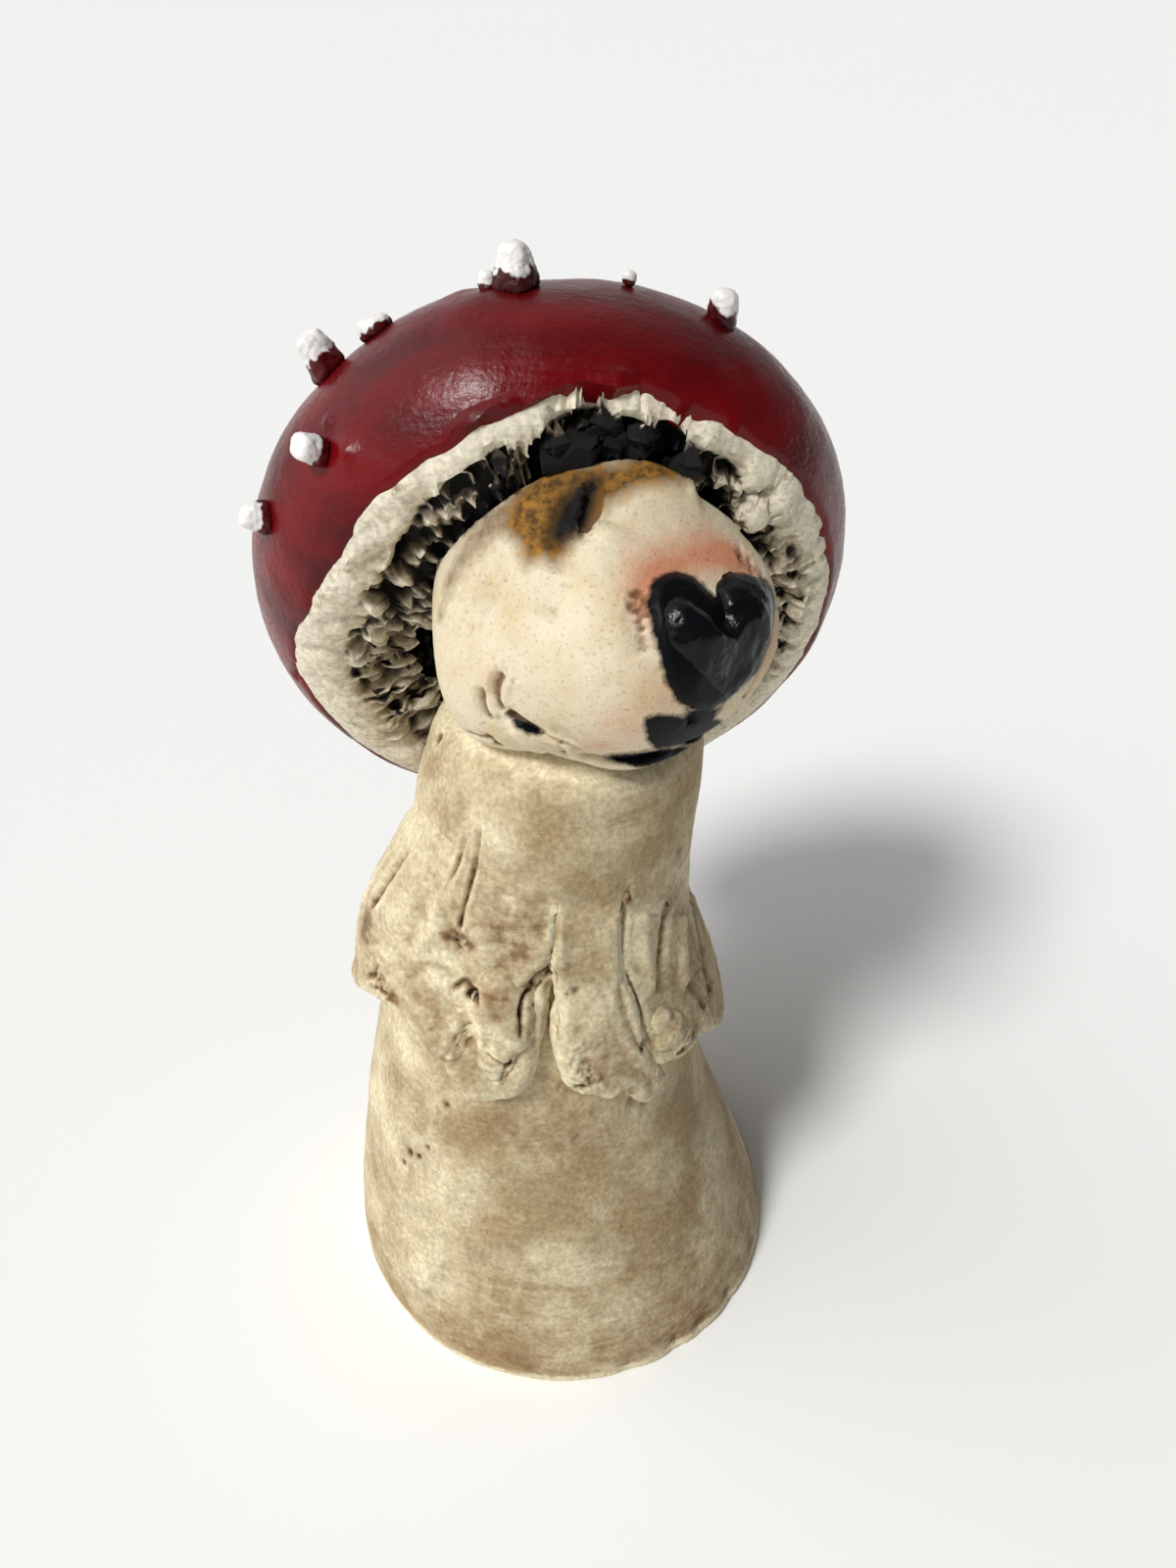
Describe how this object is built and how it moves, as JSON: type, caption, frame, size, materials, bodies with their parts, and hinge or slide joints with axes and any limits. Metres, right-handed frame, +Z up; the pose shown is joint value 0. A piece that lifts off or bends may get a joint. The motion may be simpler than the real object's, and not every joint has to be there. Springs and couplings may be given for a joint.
{
  "type": "ceramic mushroom ornament",
  "caption": "Hand-built stoneware toadstool with a tipped-back red cap, warts, a carved clay lining, a torn skirt on its stem and a dog's head looking out from under the cap.",
  "frame": {"origin": "middle of the resting face, on the surface the ornament stands on", "axes": "+Z up, -Y to the front where the cap opens, +X to the right as seen from the front"},
  "size_m": [0.0886, 0.0905, 0.1777],
  "materials": {
    "bisque_stoneware": "unglazed, brown oxide wash in the hollows",
    "cream_clay": "rough carved clay with brown wash",
    "painted_head": "matte cream and peach underglaze with a golden-brown patch",
    "black_gloss_paint": "gloss",
    "red_gloss_paint": "gloss over fine brush marks",
    "wart_paint": "white satin over red"
  },
  "bodies": {
    "root": {"base_slab": "bisque_stoneware", "stem_body": "bisque_stoneware", "skirt_left_lappet": "bisque_stoneware", "skirt_front_lappet": "bisque_stoneware", "skirt_right_lappet": "bisque_stoneware", "skirt_back_right_lappet": "bisque_stoneware", "skirt_back_left_lappet": "bisque_stoneware", "skirt_tongue": "bisque_stoneware", "skirt_inner_strip": "bisque_stoneware", "skirt_left_pinch": "bisque_stoneware", "skirt_left_curl": "bisque_stoneware", "skirt_ball": "bisque_stoneware", "head": "painted_head", "lower_jaw": "painted_head", "nose_pad": "black_gloss_paint", "cap_shell": "red_gloss_paint", "cap_lining": "cream_clay", "cap_post": "cream_clay", "wart_crown": "wart_paint", "wart_crown_ridge": "wart_paint", "wart_right": "wart_paint", "wart_top_small": "wart_paint", "wart_upper_left_peg": "wart_paint", "wart_upper_left_patch": "wart_paint", "wart_front_left": "wart_paint", "wart_left_thorn": "wart_paint", "wart_back_high": "wart_paint", "wart_back_left": "wart_paint", "wart_back_right": "wart_paint", "wart_back_low": "wart_paint", "wart_back_middle": "wart_paint"}
  },
  "joints": []
}
